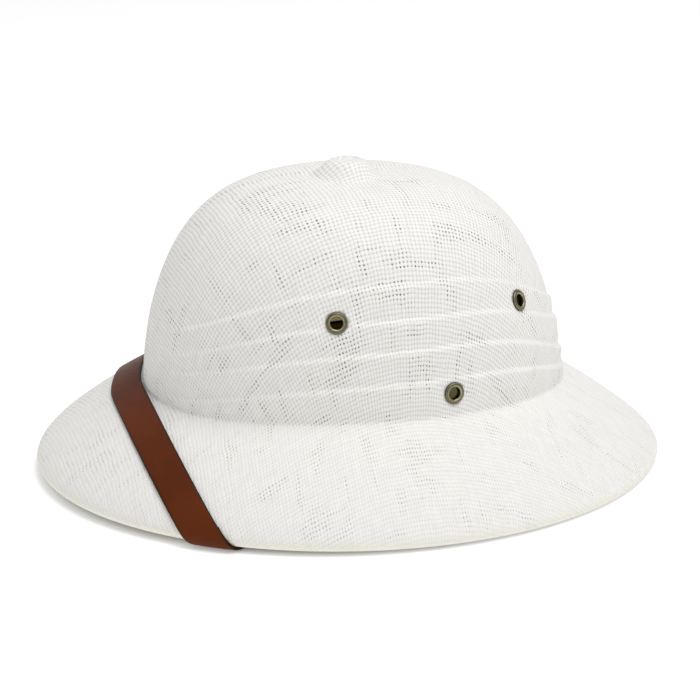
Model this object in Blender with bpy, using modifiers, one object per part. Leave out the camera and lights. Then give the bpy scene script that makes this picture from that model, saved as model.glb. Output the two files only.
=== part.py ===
"""Pith helmet: a moulded woven-straw sun hat with a leather strap and brass eyelets.

The front of the hat faces -Y, the wearer's left is +X, and it stands on Z = 0 on the
back of its rim and on the strap where this passes under the rim at each side.
A place on the hat is given by its turn, the angle from the front towards the wearer's
left, and by how far along the section at that turn it lies. Units are metres.
"""

import math

import bmesh
import bpy
import numpy as np
from mathutils import Matrix, Quaternion, Vector

# Crown
CROWN_LENGTH = 0.2176
CROWN_WIDTH = 0.1843
CROWN_HEIGHT = 0.1026
CROWN_SET_BACK = 0.0024
CROWN_LEAN = 0.0039
DOME_RISE_POWER = 1.66
DOME_ROUND_POWER = 3.72
BUTTON_DIAMETER = 0.036
BUTTON_HEIGHT = 0.0045

# Crease between the crown and the brim
CREASE_HEIGHT = 0.0456
CREASE_FORWARD_RISE = 0.0012
CREASE_SIDE_RISE = 0.0031
CREASE_FILLET = 0.0012

# Brim
BRIM_LENGTH = 0.3238
BRIM_WIDTH = 0.2787
BRIM_STRAIGHT_SHARE = 0.75
BRIM_STRAIGHT_BACK_GAIN = 0.11
STRAW_WALL = 0.0020
RIM_RADIUS = 0.0030
RIM_ROLL = 170.0
RIM_FLAT = 30.0
RIM_SIDE_DIP = 0.0005

# Pleats moulded round the crown
PLEAT_STEP = 0.0013
PLEAT_LIP = 0.0016
PLEAT_POWER = 2.9
PLEAT_TOP_SHIFT = 0.1
PLEAT_FADE_START = 12.0
PLEAT_FADE_END = 27.0
LOWEST_PLEAT_ABOVE_CREASE = 0.0050
PLEATS = (
    # height at the side, drop to the front, drop to the back, as shares of the crown height
    dict(height=0.649, front_drop=0.321, back_drop=0.324),
    dict(height=0.494, front_drop=0.282, back_drop=0.266),
    dict(height=0.351, front_drop=0.222, back_drop=0.284),
    dict(height=0.200, front_drop=0.199, back_drop=0.210),
)

# Lining under the brim
LINING_WALL = 0.0010
LINING_INNER_SHARE = 0.06

# Eyelets
EYELET_FLANGE_DIAMETER = 0.0104
EYELET_HOLE_DIAMETER = 0.0060
EYELET_BARREL_WALL = 0.0006
EYELET_FLANGE_RISE = 0.0011
EYELET_BACK_FLANGE_DIAMETER = 0.0094
EYELET_BACK_FLANGE_RISE = 0.0008
EYELET_SEAT_SINK = 0.0004
EYELET_GRIP = 0.0012
EYELET_FLAT_RADIUS = 0.0130
EYELET_PLACES = (
    # turn in degrees, height as a share of the crown's height above the crease
    dict(name="front", turn=72.2, height=0.484),
    dict(name="low", turn=103.2, height=0.110),
    dict(name="back", turn=133.8, height=0.474),
)

# Strap
STRAP_WIDTH = 0.0170
STRAP_THICKNESS = 0.0015
STRAP_FROM_CREASE = 0.0084
STRAP_BEND_START = 0.002
STRAP_BEND_END = 0.030
STRAP_SIDES = (
    # degrees that the strap heads forward at the front centre, and that it bends back
    # round the crown on its way to the rim
    dict(side="left", forward=2.5, bend=0.0),
    dict(side="right", forward=-2.5, bend=10.0),
)
STRAP_END_SHARE = 0.14
STRAP_RIM_TURN = math.radians(76.0)
STRAP_RIM_SLANT = 0.90
STRAP_LEAVE_ANGLE = 150.0
STRAP_END_MARGIN = 0.0060

# Rivet that holds each end of the strap
RIVET_HEAD_DIAMETER = 0.0080
RIVET_HEAD_RISE = 0.0014
RIVET_SHANK_DIAMETER = 0.0030
RIVET_BITE = 0.0010
RIVET_HEAD_CLEARANCE = 0.0006

# Fit and fineness
CLEARANCE = 0.0003
STRAP_CLEARANCE = 0.0004
STRAP_END_CLEARANCE = 0.0008
COLUMNS = 54
TURNED_SIDES = 12
WALK_STEP = 0.0005
MERGE_DISTANCE = 0.00001

DOME_ROWS = (0.0, 0.0012, 0.0060, 0.035, 0.11, 0.24, 0.44, 0.72)
BRIM_ROWS = (0.25, 0.50, 0.68, 0.80, 0.91, 1.0)
LINING_END_ROW = 4
STRAP_THREADS = (-0.5, 0.0, 0.5)
STRAP_GAPS = (
    # how far along the section the strap's middle is, and the gap to its next station
    dict(until=0.80, gap=0.0070),
    dict(until=0.97, gap=0.0035),
    dict(until=2.05, gap=0.0017),
    dict(until=2.20, gap=0.0050),
    dict(until=3.00, gap=0.0090),
)

STRAW_COLOUR = (0.80, 0.78, 0.73, 1.0)
LINING_COLOUR = (0.16, 0.17, 0.08, 1.0)
BRASS_COLOUR = (0.42, 0.36, 0.20, 1.0)
LEATHER_COLOUR = (0.105, 0.026, 0.010, 1.0)


def smooth_step(value, start, end):
    share = np.clip((value - start) / (end - start), 0.0, 1.0)
    return share * share * (3.0 - 2.0 * share)


def ellipse(length, width, turn, set_back=0.0):
    """A plan point at a turn, in radians, from the front towards the wearer's left."""
    return np.array((0.5 * width * math.sin(turn), set_back - 0.5 * length * math.cos(turn)))


def crease_height(turn):
    forward = CREASE_FORWARD_RISE * math.cos(turn)
    return CREASE_HEIGHT + forward - CREASE_SIDE_RISE * math.cos(2.0 * turn)


def rim_lift():
    """How far the front of the rim stands up, so that the strap fits under its sides."""
    side_dip = RIM_SIDE_DIP * math.sin(STRAP_RIM_TURN) ** 2
    strap_share = 0.5 * (1.0 + math.cos(STRAP_RIM_TURN))
    return (STRAP_CLEARANCE + STRAP_THICKNESS + side_dip) / strap_share


def rim_bottom(turn):
    lift = rim_lift() * 0.5 * (1.0 + math.cos(turn))
    return lift - RIM_SIDE_DIP * math.sin(turn) ** 2


def rim_centre(turn):
    """Height of the rolled edge's centre: the roll has a narrow flat under it."""
    return rim_bottom(turn) + RIM_RADIUS * math.cos(math.radians(0.5 * RIM_FLAT))


def section_frame(turn):
    """The crease point in plan, the outward direction and the brim's reach at a turn."""
    crease = ellipse(CROWN_LENGTH, CROWN_WIDTH, turn, CROWN_SET_BACK)
    rim = ellipse(BRIM_LENGTH, BRIM_WIDTH, turn)
    reach = float(np.linalg.norm(rim - crease))
    return crease, (rim - crease) / reach, reach


def brim_section(turn, share, sunk=0.0):
    """Reach and height on the brim, and its outward normal, at a share of the section.

    The section is part straight slope and part quarter ellipse, so it ends upright at
    the rim. The point is sunk below the surface along the normal.
    """
    _, _, reach = section_frame(turn)
    angle = share * 0.5 * math.pi
    top = crease_height(turn)
    fall = top - rim_centre(turn)
    out = reach * math.sin(angle)
    straight = BRIM_STRAIGHT_SHARE - BRIM_STRAIGHT_BACK_GAIN * math.cos(turn)
    down = straight * math.sin(angle) + (1.0 - straight) * (1.0 - math.cos(angle))
    slope_out = reach * math.cos(angle)
    slope_down = fall * (straight * math.cos(angle) + (1.0 - straight) * math.sin(angle))
    size = math.hypot(slope_out, slope_down)
    normal = np.array((slope_down, slope_out)) / size
    return np.array((out, top - fall * down)) - sunk * normal, normal


def rim_section(turn, degrees, radius):
    """A point round the rolled edge, from 0 at its outer side, turning down and in."""
    _, _, reach = section_frame(turn)
    angle = math.radians(degrees)
    centre = np.array((reach - RIM_RADIUS, rim_centre(turn)))
    return centre + radius * np.array((math.cos(angle), -math.sin(angle)))


def in_space(turn, flat):
    """A section point, as reach and height, placed in the hat."""
    crease, outward, _ = section_frame(turn)
    plan = crease + outward * flat[0]
    return Vector((plan[0], plan[1], flat[1]))


def dome_share(height):
    """Plan size of the crown at a share of its height, as a share of that at the crease."""
    return (1.0 - min(height, 1.0) ** DOME_RISE_POWER) ** (1.0 / DOME_ROUND_POWER)


def crown_top():
    return CREASE_HEIGHT + CROWN_HEIGHT


def smooth_crown(turn, height):
    """The crown without its pleats, at a share of the height above the crease."""
    share = dome_share(height)
    middle = CROWN_SET_BACK - CROWN_LEAN * height
    plan = ellipse(CROWN_LENGTH * share, CROWN_WIDTH * share, turn, middle)
    low = crease_height(turn)
    level = low + (crown_top() - low) * height
    radius = math.hypot(plan[0], plan[1] - middle)
    button = smooth_step(radius, 0.5 * BUTTON_DIAMETER, 0.3 * BUTTON_DIAMETER)
    return Vector((plan[0], plan[1], level + BUTTON_HEIGHT * float(button)))


def eyelet_frames():
    """Name, place on the smooth crown and outward direction of each eyelet."""
    frames = []
    small = 0.002
    for side, sign in (("left", 1.0), ("right", -1.0)):
        for place in EYELET_PLACES:
            turn = math.radians(place["turn"])
            centre = smooth_crown(turn, place["height"])
            along = smooth_crown(turn + small, place["height"]) - centre
            upward = smooth_crown(turn, place["height"] + small) - centre
            normal = along.cross(upward).normalized()
            centre.x *= sign
            normal.x *= sign
            frames.append((f"eyelet_{side}_{place['name']}", centre, normal))
    return frames


def pleat_height(pleat, turn):
    """Height of a pleat's edge over the floor: highest a little behind the middle of the
    side, low at the front and the back."""
    forward = math.cos(turn) + PLEAT_TOP_SHIFT
    if forward > 0.0:
        fall = pleat["front_drop"] * (forward / (1.0 + PLEAT_TOP_SHIFT)) ** PLEAT_POWER
    else:
        fall = pleat["back_drop"] * (-forward / (1.0 - PLEAT_TOP_SHIFT)) ** PLEAT_POWER
    return CREASE_HEIGHT + CROWN_HEIGHT * (pleat["height"] - fall)


def pleat_edges(turn):
    """Pleat edges as heights over the floor, kept apart from each other at the front."""
    low = crease_height(turn) + LOWEST_PLEAT_ABOVE_CREASE
    edges = [pleat_height(pleat, turn) for pleat in PLEATS]
    edges[-1] = max(edges[-1], low)
    return edges


def pleated_crown(turn, level, relief):
    """A crown point at a height over the floor, pushed out by a share of the pleat step."""
    low = crease_height(turn)
    height = (level - low) / (crown_top() - low)
    point = smooth_crown(turn, height)
    from_front = math.degrees(math.acos(math.cos(turn)))
    step = PLEAT_STEP * float(smooth_step(from_front, PLEAT_FADE_START, PLEAT_FADE_END))
    for _, centre, _ in EYELETS:
        distance = (point - centre).length
        step *= float(smooth_step(distance, 0.5 * EYELET_FLANGE_DIAMETER, EYELET_FLAT_RADIUS))
    outward = Vector((point.x / CROWN_WIDTH ** 2, (point.y - CROWN_SET_BACK) / CROWN_LENGTH ** 2, 0.0))
    return point + outward.normalized() * relief * step


def shell_column(turn):
    """Outer surface of the straw at one turn, from the top of the crown to the rolled rim."""
    edges = pleat_edges(turn)
    low = crease_height(turn)
    lip = 0.5 * PLEAT_LIP
    first = (edges[0] + lip - low) / (crown_top() - low)
    points = [smooth_crown(turn, 1.0 - (1.0 - first) * share) for share in DOME_ROWS]
    for index, edge in enumerate(edges):
        points.append(pleated_crown(turn, edge + lip, -0.5))
        points.append(pleated_crown(turn, edge - lip, 0.5))
        below = edges[index + 1] if index + 1 < len(edges) else low + CREASE_FILLET
        points.append(pleated_crown(turn, 0.5 * (edge + below), 0.0))
    wall = pleated_crown(turn, low + CREASE_FILLET, 0.0)
    slope = in_space(turn, brim_section(turn, 0.0)[0] + brim_step(turn, CREASE_FILLET))
    corner = in_space(turn, brim_section(turn, 0.0)[0])
    points.append(wall)
    points.append((wall + slope + corner * 2.0) / 4.0)
    points.append(slope)
    points += [in_space(turn, brim_section(turn, share)[0]) for share in BRIM_ROWS]
    flat_start = 90.0 - 0.5 * RIM_FLAT
    roll = (0.5 * flat_start, flat_start, flat_start + RIM_FLAT, RIM_ROLL)
    points += [in_space(turn, rim_section(turn, degrees, RIM_RADIUS)) for degrees in roll]
    return points


def brim_step(turn, distance):
    """A step down the brim from the crease, as reach and height."""
    _, normal = brim_section(turn, 0.0)
    return distance * np.array((normal[1], -normal[0]))


def loft(name, columns, pole):
    """A surface through columns of points, closed round the hat, as a new object."""
    mesh = bpy.data.meshes.new(name)
    shape = bmesh.new()
    grid = [[shape.verts.new(point) for point in (column[1:] if pole else column)]
            for column in columns]
    count = len(grid)
    for index in range(count):
        here, there = grid[index], grid[(index + 1) % count]
        for row in range(len(here) - 1):
            shape.faces.new((here[row], here[row + 1], there[row + 1], there[row]))
    if pole:
        tip = shape.verts.new(columns[0][0])
        for index in range(count):
            shape.faces.new((tip, grid[index][0], grid[(index + 1) % count][0]))
    shape.to_mesh(mesh)
    shape.free()
    item = bpy.data.objects.new(name, mesh)
    return item


def add_wall(item, thickness):
    """Gives an open surface its wall on the inner side."""
    wall = item.modifiers.new("wall", "SOLIDIFY")
    wall.thickness = thickness
    wall.offset = -1.0
    wall.use_even_offset = True
    return wall


def material(name, colour, roughness, metallic=0.0):
    item = bpy.data.materials.get(name)
    if item is None:
        item = bpy.data.materials.new(name)
        item.use_nodes = True
        shader = item.node_tree.nodes["Principled BSDF"]
        shader.inputs["Base Color"].default_value = colour
        shader.inputs["Roughness"].default_value = roughness
        shader.inputs["Metallic"].default_value = metallic
    return item


def collection(name):
    item = bpy.data.collections.new(name)
    bpy.context.scene.collection.children.link(item)
    return item


def finish(item, look, smooth=True):
    """Puts a part into the hat's collection with its material."""
    item.data.materials.append(look)
    HAT.objects.link(item)
    if smooth:
        item.data.shade_smooth()
        item.data.set_sharp_from_angle(angle=math.radians(35.0))
    return item


def turned(name, profile, closed):
    """A profile of radius and height pairs turned round Z with a Screw modifier."""
    mesh = bpy.data.meshes.new(name)
    count = len(profile)
    edges = [(index, index + 1) for index in range(count - 1)]
    if closed:
        edges.append((count - 1, 0))
    mesh.from_pydata([(radius, 0.0, height) for radius, height in profile], edges, [])
    item = bpy.data.objects.new(name, mesh)
    screw = item.modifiers.new("turn", "SCREW")
    screw.steps = TURNED_SIDES
    screw.render_steps = TURNED_SIDES
    screw.use_merge_vertices = True
    screw.merge_threshold = MERGE_DISTANCE
    screw.use_normal_calculate = closed
    return item


def stand_on(centre, normal):
    """A place whose Z axis is the outward direction there."""
    turn = normal.to_track_quat("Z", "Y").to_matrix().to_4x4()
    return Matrix.Translation(centre) @ turn


def make_cutter(item, place):
    item.matrix_world = place
    item.hide_render = True
    item.display_type = "WIRE"
    CUTTERS.objects.link(item)
    return item


def cut(item, cutter):
    """Cuts a part with a cutter, after the modifiers that it already has."""
    tool = item.modifiers.new("cut", "BOOLEAN")
    tool.operation = "DIFFERENCE"
    tool.solver = "EXACT"
    tool.object = cutter
    return tool


def eyelet_profile():
    """Section of an eyelet: a domed flange, the barrel and the flange behind the straw."""
    hole = 0.5 * EYELET_HOLE_DIAMETER
    barrel = hole + EYELET_BARREL_WALL
    front = 0.5 * EYELET_FLANGE_DIAMETER
    back = 0.5 * EYELET_BACK_FLANGE_DIAMETER
    seat = CLEARANCE - EYELET_SEAT_SINK
    rear = -EYELET_SEAT_SINK - EYELET_GRIP - CLEARANCE
    return [
        (hole, seat + 0.6 * EYELET_FLANGE_RISE),
        (0.5 * (hole + front), seat + EYELET_FLANGE_RISE),
        (front, seat + 0.35 * EYELET_FLANGE_RISE),
        (front, seat),
        (barrel, seat),
        (barrel, rear),
        (back, rear),
        (0.5 * (hole + back), rear - EYELET_BACK_FLANGE_RISE),
        (hole, rear - 0.5 * EYELET_BACK_FLANGE_RISE),
    ]


def seat_profile():
    """Section of what an eyelet takes out of the straw: two flat seats and a hole."""
    hole = 0.5 * EYELET_HOLE_DIAMETER + EYELET_BARREL_WALL + CLEARANCE
    front = 0.5 * EYELET_FLANGE_DIAMETER + CLEARANCE
    back = 0.5 * EYELET_BACK_FLANGE_DIAMETER + CLEARANCE
    high = EYELET_FLANGE_DIAMETER * 0.5
    seat = -EYELET_SEAT_SINK
    rear = -EYELET_SEAT_SINK - EYELET_GRIP
    return [(0.0, high), (front, high), (front, seat), (hole, seat),
            (hole, rear), (back, rear), (back, -high), (0.0, -high)]


def strap_surface(turn, along):
    """The surface that the strap lies on, as one smooth sheet.

    Along runs from 0 to 1 over the brim, from 1 to 2 round the rolled rim, and from 2
    to 3 under the brim, where it bends back to the lining near the crease.
    """
    if along <= 1.0:
        return in_space(turn, brim_section(turn, along, -STRAP_CLEARANCE)[0])
    radius = RIM_RADIUS + STRAP_CLEARANCE
    if along <= 2.0:
        return in_space(turn, rim_section(turn, (along - 1.0) * STRAP_LEAVE_ANGLE, radius))
    start = rim_section(turn, STRAP_LEAVE_ANGLE, radius)
    depth = STRAW_WALL + CLEARANCE + LINING_WALL + STRAP_END_CLEARANCE
    end, normal = brim_section(turn, STRAP_END_SHARE, depth)
    lean = math.radians(STRAP_LEAVE_ANGLE - 90.0)
    rise = np.array((-math.cos(lean), math.sin(lean)))
    back = np.array((normal[1], -normal[0]))
    gap = end - start
    cross = rise[0] * back[1] - rise[1] * back[0]
    knee = start + rise * (gap[0] * back[1] - gap[1] * back[0]) / cross
    share = along - 2.0
    point = (1 - share) ** 2 * start + 2 * share * (1 - share) * knee + share ** 2 * end
    return in_space(turn, point)


def surface_step(place, heading, distance):
    """One straight step on the strap's surface; gives the new place and heading."""
    turn, along = place
    small = 0.0005
    point = strap_surface(turn, along)
    by_turn = (strap_surface(turn + small, along) - point) / small
    by_along = (strap_surface(turn, along + small) - point) / small
    system = np.array((by_turn, by_along)).T
    change = np.linalg.lstsq(system, np.array(heading) * distance, rcond=None)[0]
    moved = (turn + float(change[0]), along + float(change[1]))
    normal = surface_normal(moved)
    flat = heading - normal * heading.dot(normal)
    return moved, flat.normalized()


def surface_normal(place):
    """Direction away from the straw at a place on the strap's surface."""
    turn, along = place
    small = 0.0005
    point = strap_surface(turn, along)
    by_turn = strap_surface(turn + small, along) - point
    by_along = strap_surface(turn, along + small) - point
    return by_along.cross(by_turn).normalized()


def walk(place, heading, distance):
    """Walks straight over the surface by a distance, as a strap lies when it is pulled tight."""
    steps = max(1, round(abs(distance) / WALK_STEP))
    for _ in range(steps):
        place, heading = surface_step(place, heading, distance / steps)
    return place, heading


def strap_path(forward, bend):
    """Places and headings of the strap's middle line at each walking step, from the front
    centre to where it ends under the brim, as on the wearer's left.

    It lies slightly askew, so it bends back round the crown on one side.
    """
    _, _, reach = section_frame(0.0)
    place = (0.0, math.asin(STRAP_FROM_CREASE / reach) / (0.5 * math.pi))
    heading = Vector((1.0, 0.0, 0.0))
    heading.rotate(Quaternion(surface_normal(place), -math.radians(forward)))
    path = [(place, heading)]
    bent = 0.0
    while path[-1][0][1] < 3.0:
        place, heading = surface_step(*path[-1], WALK_STEP)
        run = len(path) * WALK_STEP
        wanted = math.radians(bend) * float(smooth_step(run, STRAP_BEND_START, STRAP_BEND_END))
        heading.rotate(Quaternion(surface_normal(place), wanted - bent))
        bent = wanted
        path.append((place, heading))
    return path


def on_path(path, run):
    """Place and heading of the strap's middle line at a distance from the front centre."""
    spot = min(max(run / WALK_STEP, 0.0), len(path) - 1.001)
    index = int(spot)
    share = spot - index
    (here, start), (there, end) = path[index], path[index + 1]
    place = tuple(a + (b - a) * share for a, b in zip(here, there))
    return place, start.lerp(end, share).normalized()


def strap_runs(path):
    """Distances of the strap's stations from the front centre, closest round the rim."""
    last = (len(path) - 2) * WALK_STEP
    runs = [0.0]
    while True:
        along = on_path(path, runs[-1])[0][1]
        gap = next(row["gap"] for row in STRAP_GAPS if along < row["until"])
        if runs[-1] + 1.5 * gap > last:
            return runs + [last]
        runs.append(runs[-1] + gap)


def strap_ring(path, run):
    """Section of the strap at a distance from the front centre: under side, then upper side.

    A section is square to the strap, but it leans round to run along the rim where the
    strap wraps the rolled edge, so that each section lies straight there.
    """
    along = on_path(path, run)[0][1]
    lean = smooth_step(along, 0.45, 0.93) * smooth_step(along, 2.75, 2.10)
    under, upper = [], []
    for thread in STRAP_THREADS:
        offset = thread * STRAP_WIDTH
        place, heading = on_path(path, run - offset * STRAP_RIM_SLANT * float(lean))
        across = heading.cross(surface_normal(place)).normalized()
        if offset:
            place, _ = walk(place, across, offset)
        point = strap_surface(*place)
        under.append(point)
        upper.append(point + surface_normal(place) * STRAP_THICKNESS)
    return under + upper[::-1]


def mirrored(points):
    """The same points on the wearer's right."""
    return [Vector((-point.x, point.y, point.z)) for point in points]


def make_strap():
    """The strap as one band: round the front of the crown, over both sides of the rim and
    back under the brim to its two rivets."""
    left, right = ([strap_ring(path, run) for run in strap_runs(path)]
                   for path in (STRAP_PATHS["left"], STRAP_PATHS["right"]))
    rings = [mirrored(ring) for ring in right[:0:-1]] + left
    mesh = bpy.data.meshes.new("chin_strap")
    shape = bmesh.new()
    grid = [[shape.verts.new(point) for point in ring] for ring in rings]
    count = len(rings[0])
    for here, there in zip(grid, grid[1:]):
        for index in range(count):
            after = (index + 1) % count
            shape.faces.new((here[index], there[index], there[after], here[after]))
    for ring in (grid[0], grid[-1][::-1]):
        for index in range(count // 2 - 1):
            shape.faces.new((ring[index], ring[index + 1],
                             ring[count - 2 - index], ring[count - 1 - index]))
    bmesh.ops.recalc_face_normals(shape, faces=shape.faces)
    shape.to_mesh(mesh)
    shape.free()
    item = bpy.data.objects.new("chin_strap", mesh)
    for _, cutter in RIVET_CUTTERS:
        cut(item, cutter)
    return finish(item, material("leather", LEATHER_COLOUR, 0.35))


def rivet_places():
    """Side name, place and outward direction of each rivet, on the strap's outer side."""
    places = []
    for side, path in STRAP_PATHS.items():
        place, _ = on_path(path, (len(path) - 2) * WALK_STEP - STRAP_END_MARGIN)
        normal = surface_normal(place)
        centre = strap_surface(*place) + normal * STRAP_THICKNESS
        if side == "right":
            centre, normal = mirrored((centre, normal))
        places.append((side, centre, normal))
    return places


def rivet_depth():
    """Length of the rivet's shank under its head: strap, lining and a bite of the straw."""
    return STRAP_THICKNESS + STRAP_END_CLEARANCE + LINING_WALL + CLEARANCE + RIVET_BITE


def make_rivets():
    """One plain rivet at each end of the strap, with a domed head and a blind shank."""
    head = 0.5 * RIVET_HEAD_DIAMETER
    shank = 0.5 * RIVET_SHANK_DIAMETER
    rise = RIVET_HEAD_RISE
    seat = RIVET_HEAD_CLEARANCE
    profile = [(0.0, seat + rise), (0.6 * head, seat + 0.8 * rise),
               (head, seat + 0.3 * rise), (head, seat), (shank, seat),
               (shank, -rivet_depth()), (0.0, -rivet_depth())]
    for side, centre, normal in rivet_places():
        item = turned(f"strap_rivet_{side}", profile, False)
        item.matrix_world = stand_on(centre, normal)
        finish(item, material("brass", BRASS_COLOUR, 0.4, 1.0))


def make_rivet_cutters():
    """The holes of the rivets through the strap and lining and part way into the straw."""
    radius = 0.5 * RIVET_SHANK_DIAMETER + CLEARANCE
    deep = -rivet_depth() - CLEARANCE
    profile = [(0.0, RIVET_HEAD_RISE), (radius, RIVET_HEAD_RISE), (radius, deep), (0.0, deep)]
    return [(side, make_cutter(turned(f"rivet_hole_{side}", profile, False),
                               stand_on(centre, normal)))
            for side, centre, normal in rivet_places()]


def make_straw_shell():
    """Crown and brim in one piece of moulded straw, with the eyelets' seats cut out."""
    turns = [2.0 * math.pi * index / COLUMNS for index in range(COLUMNS)]
    item = loft("straw_shell", [shell_column(turn) for turn in turns], True)
    add_wall(item, STRAW_WALL)
    for name, centre, normal in EYELETS:
        seat = turned(f"seat_{name}", seat_profile(), False)
        cut(item, make_cutter(seat, stand_on(centre, normal)))
    for _, cutter in RIVET_CUTTERS:
        cut(item, cutter)
    return finish(item, material("straw", STRAW_COLOUR, 0.8))


def make_lining():
    """A thin cloth facing under the brim, from inside the rolled rim to the crease."""
    turns = [2.0 * math.pi * index / COLUMNS for index in range(COLUMNS)]
    shares = (LINING_INNER_SHARE, *BRIM_ROWS[:LINING_END_ROW])
    depth = STRAW_WALL + CLEARANCE
    columns = [[in_space(turn, brim_section(turn, share, depth)[0]) for share in shares]
               for turn in turns]
    item = loft("brim_lining", columns, False)
    add_wall(item, LINING_WALL)
    for _, cutter in RIVET_CUTTERS:
        cut(item, cutter)
    return finish(item, material("lining", LINING_COLOUR, 0.9))


def make_eyelets():
    for name, centre, normal in EYELETS:
        item = turned(name, eyelet_profile(), True)
        item.matrix_world = stand_on(centre, normal)
        finish(item, material("brass", BRASS_COLOUR, 0.4, 1.0))


for old in list(bpy.data.objects):
    bpy.data.objects.remove(old)

HAT = collection("pith_helmet")
CUTTERS = collection("cutters")
EYELETS = eyelet_frames()
STRAP_PATHS = {row["side"]: strap_path(row["forward"], row["bend"]) for row in STRAP_SIDES}
RIVET_CUTTERS = make_rivet_cutters()

make_straw_shell()
make_lining()
make_eyelets()
make_strap()
make_rivets()
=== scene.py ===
"""Pith helmet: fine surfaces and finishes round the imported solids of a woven-straw sun hat.

The front of the hat faces -Y, the wearer's left is +X, and it stands on Z = 0. A turn is
the angle from the front towards the wearer's left, in radians. Lengths are metres.
"""

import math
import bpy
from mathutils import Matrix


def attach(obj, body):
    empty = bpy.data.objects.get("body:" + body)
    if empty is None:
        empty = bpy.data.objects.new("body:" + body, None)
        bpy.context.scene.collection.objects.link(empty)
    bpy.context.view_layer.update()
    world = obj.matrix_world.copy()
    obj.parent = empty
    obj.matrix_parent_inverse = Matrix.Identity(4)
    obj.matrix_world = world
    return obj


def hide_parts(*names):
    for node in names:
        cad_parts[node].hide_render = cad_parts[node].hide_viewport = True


bl_info = {
    "name": "Pith Helmet",
    "version": (1, 0, 0),
    "blender": (4, 5, 0),
    "location": "View3D > Sidebar > Pith Helmet",
    "description": "Woven straw shell, lining, leather strap and brass eyelets of a sun hat",
    "category": "Object",
}

import bpy
import numpy as np
from mathutils import Vector

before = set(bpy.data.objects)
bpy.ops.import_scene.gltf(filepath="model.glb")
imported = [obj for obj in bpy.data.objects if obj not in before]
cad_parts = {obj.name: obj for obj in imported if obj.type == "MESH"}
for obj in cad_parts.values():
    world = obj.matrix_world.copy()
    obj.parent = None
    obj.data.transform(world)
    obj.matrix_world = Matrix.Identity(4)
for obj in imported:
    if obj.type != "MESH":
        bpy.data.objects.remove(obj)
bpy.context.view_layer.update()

# Form of the hat. The button stands higher than the solid's, to meet the photograph.
CROWN_LENGTH = 0.2176
CROWN_WIDTH = 0.1843
CROWN_HEIGHT = 0.1026
CROWN_SET_BACK = 0.0024
CROWN_LEAN = 0.0039
DOME_RISE_POWER = 1.66
DOME_ROUND_POWER = 3.72
BUTTON_DIAMETER = 0.038
BUTTON_HEIGHT = 0.0078
CREASE_HEIGHT = 0.0456
CREASE_FORWARD_RISE = 0.0012
CREASE_SIDE_RISE = 0.0031
CREASE_FILLET = 0.0012
BRIM_LENGTH = 0.3238
BRIM_WIDTH = 0.2787
BRIM_STRAIGHT_SHARE = 0.75
BRIM_STRAIGHT_BACK_GAIN = 0.11
STRAW_WALL = 0.0020
RIM_RADIUS = 0.0030
RIM_ROLL = 170.0
RIM_FLAT = 30.0
RIM_SIDE_DIP = 0.0005

# Pleats moulded round the crown, with a wider lip than the solid's
PLEAT_LIP = 0.0024
PLEAT_POWER = 2.9
PLEAT_TOP_SHIFT = 0.1
PLEAT_FADE_START = 12.0
PLEAT_FADE_END = 27.0
LOWEST_PLEAT_ABOVE_CREASE = 0.0050
PLEATS = (
    # height at the side, drop to the front, drop to the back, as shares of the crown height
    dict(height=0.649, front_drop=0.321, back_drop=0.324),
    dict(height=0.494, front_drop=0.282, back_drop=0.266),
    dict(height=0.351, front_drop=0.222, back_drop=0.284),
    dict(height=0.200, front_drop=0.199, back_drop=0.210),
)
PLEAT_UPPER_FADE = 0.010

# Lining, eyelets, strap and rivets
LINING_WALL = 0.0010
LINING_INNER_SHARE = 0.06
LINING_OUTER_SHARE = 0.80
LINING_HEM_SHARE = 0.03
LINING_HEM_THINNING = 0.21
EYELET_FLANGE_DIAMETER = 0.0104
EYELET_HOLE_DIAMETER = 0.0060
EYELET_BARREL_WALL = 0.0006
EYELET_FLANGE_RISE = 0.0011
EYELET_BACK_FLANGE_DIAMETER = 0.0094
EYELET_BACK_FLANGE_RISE = 0.0008
EYELET_SEAT_SINK = 0.0004
EYELET_GRIP = 0.0012
EYELET_FLAT_RADIUS = 0.0130
EYELET_PLACES = (
    # turn in degrees, height as a share of the crown's height above the crease
    dict(name="front", turn=72.2, height=0.484),
    dict(name="low", turn=103.2, height=0.110),
    dict(name="back", turn=133.8, height=0.474),
)
STRAP_THICKNESS = 0.0015
STRAP_FROM_CREASE = 0.0084
STRAP_BEND_START = 0.002
STRAP_BEND_END = 0.030
STRAP_SIDES = (
    # degrees that the strap heads forward at the front centre, and that it bends back
    # round the crown on its way to the rim
    dict(side="left", sign=1.0, forward=2.5, bend=0.0),
    dict(side="right", sign=-1.0, forward=-2.5, bend=10.0),
)
STRAP_END_SHARE = 0.14
STRAP_RIM_TURN = math.radians(76.0)
STRAP_LEAVE_ANGLE = 150.0
STRAP_END_MARGIN = 0.0060
RIVET_HEAD_DIAMETER = 0.0080
RIVET_HEAD_RISE = 0.0014
RIVET_HEAD_CLEARANCE = 0.0006
RIVET_SHANK_RADIUS = 0.0015
RIVET_SHANK_LENGTH = 0.0022
RIVET_EDGE_SHARE = 0.3
CLEARANCE = 0.0003
STRAP_CLEARANCE = 0.0004
STRAP_END_CLEARANCE = 0.0008

# Fineness
COLUMNS = 288
DOME_ROWS = 64
BRIM_ROWS = 44
INNER_ROWS = 26
LIP_OFFSETS = (1.3, 0.8, 0.5, 0.3, 0.1, -0.1, -0.3, -0.5, -0.8, -1.3)
BAND_ROWS = 5
TURNED_SIDES = 48
WALK_STEP = 0.0005
WALK_LONGEST = 600
STRAP_STATION = 0.0010
STRAP_CROSS_STEPS = 18
ROLL_ROWS = 21
INNER_ROLL_ROWS = 9
LINING_ROWS = 22
FLOOR_SIDES = 128

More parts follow.
